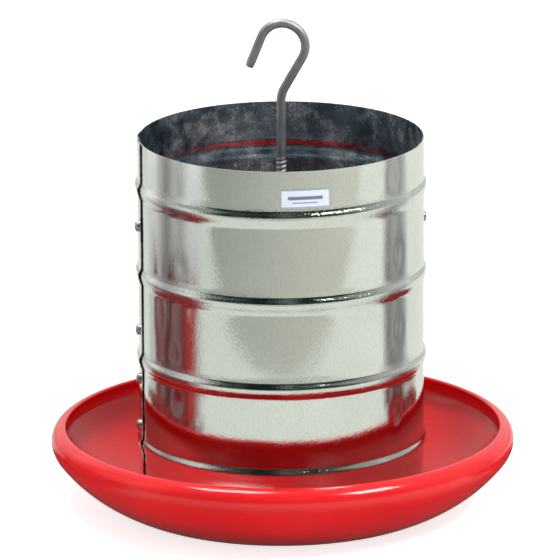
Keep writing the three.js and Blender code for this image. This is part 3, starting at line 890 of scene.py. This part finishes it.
def soft_box(name, place_at, width, depth, power):
    light = bpy.data.lights.new(name, "AREA")
    light.shape = "RECTANGLE"
    light.size = width
    light.size_y = depth
    light.energy = power
    lamp = bpy.data.objects.new(name, light)
    bpy.context.scene.collection.objects.link(lamp)
    lamp.location = place_at
    aim = Vector((0, 0, 0.2)) - Vector(place_at)
    lamp.rotation_mode = "QUATERNION"
    lamp.rotation_quaternion = aim.to_track_quat("-Z", "Y")
    lamp.visible_camera = False


def stage_mesh(name, points, faces, material):
    mesh = bpy.data.meshes.new(name)
    mesh.from_pydata(points, [], faces)
    mesh.materials.append(material)
    stage = bpy.data.objects.new(name, mesh)
    bpy.context.scene.collection.objects.link(stage)
    return stage


def only_in_reflections(stage):
    stage.visible_camera = False
    stage.visible_diffuse = False
    stage.visible_transmission = False
    stage.visible_shadow = False


class Glow(Shader):
    """A lit card: its colour comes from where it is."""

    def finish(self, colour):
        self.nodes.remove(self.base)
        glow = self.nodes.new("ShaderNodeEmission")
        self.link(colour, glow.inputs["Color"])
        self.link(glow.outputs[0], self.nodes["Material Output"].inputs["Surface"])
        return self.material


def floor():
    """A white table: what the camera sees of it is lifted towards white, with the object's soft shadow."""
    material = bpy.data.materials.new("floor")
    material.use_nodes = True
    nodes, links = material.node_tree.nodes, material.node_tree.links
    base = nodes["Principled BSDF"]
    base.inputs["Base Color"].default_value = (0.80, 0.80, 0.80, 1)
    base.inputs["Roughness"].default_value = 0.9
    base.inputs["Specular IOR Level"].default_value = 0.1
    path = nodes.new("ShaderNodeLightPath")
    glow = nodes.new("ShaderNodeEmission")
    lift = nodes.new("ShaderNodeMath")
    lift.operation = "MULTIPLY"
    lift.inputs[1].default_value = 0.74
    links.new(path.outputs["Is Camera Ray"], lift.inputs[0])
    links.new(lift.outputs[0], glow.inputs["Strength"])
    both = nodes.new("ShaderNodeAddShader")
    links.new(base.outputs[0], both.inputs[0])
    links.new(glow.outputs[0], both.inputs[1])
    links.new(both.outputs[0], nodes["Material Output"].inputs["Surface"])
    half = 12.0
    corners = [(-half, -half, 0), (half, -half, 0), (half, half, 0), (-half, half, 0)]
    stage_mesh("floor", corners, [(0, 1, 2, 3)], material).visible_glossy = False


def table_in_reflections():
    """What the sheet mirrors below the horizon: a pale table, and a greyer room past its front edge.

    Ragged patches of painted red reflection glow on both sides of the dish, and the ground under it is
    darkened as a painted shadow.
    """
    s = Glow("table")
    x, y = s.height("X"), s.height("Y")
    side = s.step(x, 0.1, 1.0)
    near = s.mix(side, (0.76, 0.79, 0.75), (0.94, 0.96, 0.90))
    far = s.mix(side, (0.42, 0.43, 0.40), (0.74, 0.75, 0.67))
    ripple = s.math("MULTIPLY", s.math("SUBTRACT", s.noise(2.2, detail=2), 0.5), 0.10)
    tone = s.mix(s.step(s.math("ADD", y, ripple), TABLE_EDGE, 0.03), far, near)
    reach = s.math("SQRT", s.math("ADD", s.math("POWER", x, 2.0), s.math("POWER", y, 2.0)))
    # Painted red reflection: ragged red glowing patches beside the dish, mirrored as red streaks in the
    # sheet.
    ragged = s.math("MULTIPLY", s.math("SUBTRACT", s.noise(18, detail=3, roughness=0.7), 0.5), 0.9)
    turn = s.math("ADD", s.bearing(), ragged)
    left = s.between(turn, math.radians(-120), math.radians(-62), 0.04)
    right = s.between(turn, math.radians(80), math.radians(122), 0.04)
    close_by = s.math("SUBTRACT", 1.0, s.step(reach, RED_GLOW_REACH, 0.02))
    red_glow = s.math("MULTIPLY", s.math("MAXIMUM", left, right), close_by)
    deep = s.ramp(s.noise(30, detail=2), (0.35, (0.12, 0.018, 0.02)), (0.65, (0.40, 0.05, 0.05)))
    tone = s.mix(red_glow, tone, deep)
    # Painted shadow: the table is dark close under the dish, so the sheet and the bowl mirror the dish's
    # shade.
    tone = s.mix(s.step(reach, SHADOW_REACH, 0.05), (0.12, 0.08, 0.08), tone)
    half = 30.0
    corners = [(-half, -half, 0.0004), (half, -half, 0.0004), (half, half, 0.0004), (-half, half, 0.0004)]
    only_in_reflections(stage_mesh("table", corners, [(0, 1, 2, 3)], s.finish(tone)))


def dark_canopy():
    """The unlit room above the horizon: dark on the camera's side, paler behind the object."""
    s = Glow("canopy")
    radius = 3.0
    turn = s.math("ADD", s.math("MULTIPLY", s.height("Y"), -0.5 / radius), 0.5)
    room = s.ramp(turn, (0.0, (0.85, 0.87, 0.86)), (0.45, (0.44, 0.46, 0.45)),
                  (0.68, (0.30, 0.32, 0.29)), (0.78, (0.010, 0.020, 0.018)))
    shapes = s.noise(0.8, detail=2, vector=s.scaled(1, 1, 0.1))
    room = s.mix(s.ramp(shapes, (0.50, 0.0), (0.60, 0.16)), room, (0.9, 0.95, 0.92))
    haze = s.ramp(s.math("MULTIPLY", s.height("Z"), 1 / radius), (0.0, 0.75), (0.16, 0.0))
    tone = s.mix(haze, room, (0.20, 0.21, 0.18))
    rows = np.radians(np.linspace(0.05, 89, 26))
    turns = np.linspace(0, 2 * math.pi, 64, endpoint=False)
    points = [(radius * math.cos(e) * math.cos(a), radius * math.cos(e) * math.sin(a), radius * math.sin(e))
              for e in rows for a in turns]
    faces = grid_faces(len(rows), len(turns), close_columns=True)
    only_in_reflections(stage_mesh("canopy", points, faces, s.finish(tone)))


def side_card(name, first, last, stops, red_height, red_from, red_to, red_stops):
    """An upright card between two bearings in degrees, streaked from side to side, its foot glowing red as a
    painted red reflection.

    Stops and red edges are shares of the way from the first bearing to the last.
    """
    s = Glow(name)
    radius = 0.45
    height = 0.42
    share = s.nodes.new("ShaderNodeMapRange")
    share.inputs["From Min"].default_value = math.radians(first)
    share.inputs["From Max"].default_value = math.radians(last)
    s.link(s.bearing(), share.inputs["Value"])
    streaks = s.noise(26, detail=3, roughness=0.7, vector=s.scaled(1, 1, 0.22))
    moved = s.math("ADD", share.outputs["Result"], s.math("MULTIPLY", s.math("SUBTRACT", streaks, 0.5), 0.16))
    tone = s.ramp(moved, *stops)
    dim = s.ramp(s.math("DIVIDE", s.height("Z"), height), (0.30, 0.60), (0.62, 1.0))
    tone = s.mix(1.0, tone, dim, "MULTIPLY")
    # Painted red reflection: the card's foot glows red, so the sheet mirrors red streaks low down.
    edge = s.math("ADD", s.height("Z"), s.math("MULTIPLY", s.math("SUBTRACT", streaks, 0.5), -0.30))
    red_glow = s.math("SUBTRACT", 1.0, s.step(edge, red_height, 0.006))
    wavy = s.math("ADD", share.outputs["Result"], s.math("MULTIPLY", s.math("SUBTRACT", streaks, 0.5), 0.30))
    red_glow = s.math("MULTIPLY", red_glow, s.between(wavy, red_from, red_to, 0.02))
    tone = s.mix(red_glow, tone, s.ramp(wavy, *red_stops))
    columns, rows = 40, 12
    points = []
    for j in range(rows):
        for a in np.radians(np.linspace(first, last, columns)):
            points.append((radius * math.sin(a), -radius * math.cos(a), 0.001 + height * j / (rows - 1)))
    only_in_reflections(stage_mesh(name, points, grid_faces(rows, columns), s.finish(tone)))


def world():
    """White to the camera and in reflections, a quieter white as fill light."""
    made = bpy.data.worlds.new("studio")
    bpy.context.scene.world = made
    made.use_nodes = True
    nodes, links = made.node_tree.nodes, made.node_tree.links
    path = nodes.new("ShaderNodeLightPath")
    seen = nodes.new("ShaderNodeMath")
    seen.operation = "MAXIMUM"
    links.new(path.outputs["Is Camera Ray"], seen.inputs[0])
    links.new(path.outputs["Is Glossy Ray"], seen.inputs[1])
    also = nodes.new("ShaderNodeMath")
    also.operation = "MAXIMUM"
    links.new(seen.outputs[0], also.inputs[0])
    links.new(path.outputs["Is Transmission Ray"], also.inputs[1])
    level = nodes.new("ShaderNodeMapRange")
    level.inputs["To Min"].default_value = 0.62
    level.inputs["To Max"].default_value = 1.0
    links.new(also.outputs[0], level.inputs["Value"])
    links.new(level.outputs["Result"], nodes["Background"].inputs["Strength"])
    nodes["Background"].inputs["Color"].default_value = (1, 1, 1, 1)


camera()
soft_box("soft_box_overhead", (-0.5, 0.1, 2.3), 1.0, 0.72, 31)
soft_box("soft_box_right", (1.22, -0.82, 1.8), 0.8, 0.45, 26)
floor()
table_in_reflections()
dark_canopy()
side_card("card_left", -122, -60, CARD_LEFT_TONES, 0.115, 0.18, 0.97, CARD_LEFT_REDS)
side_card("card_right", 79, 108, CARD_RIGHT_TONES, 0.02, 0.10, 0.90, CARD_RIGHT_REDS)
world()

scene = bpy.context.scene
scene.view_settings.view_transform = "Standard"

bpy.context.view_layer.update()
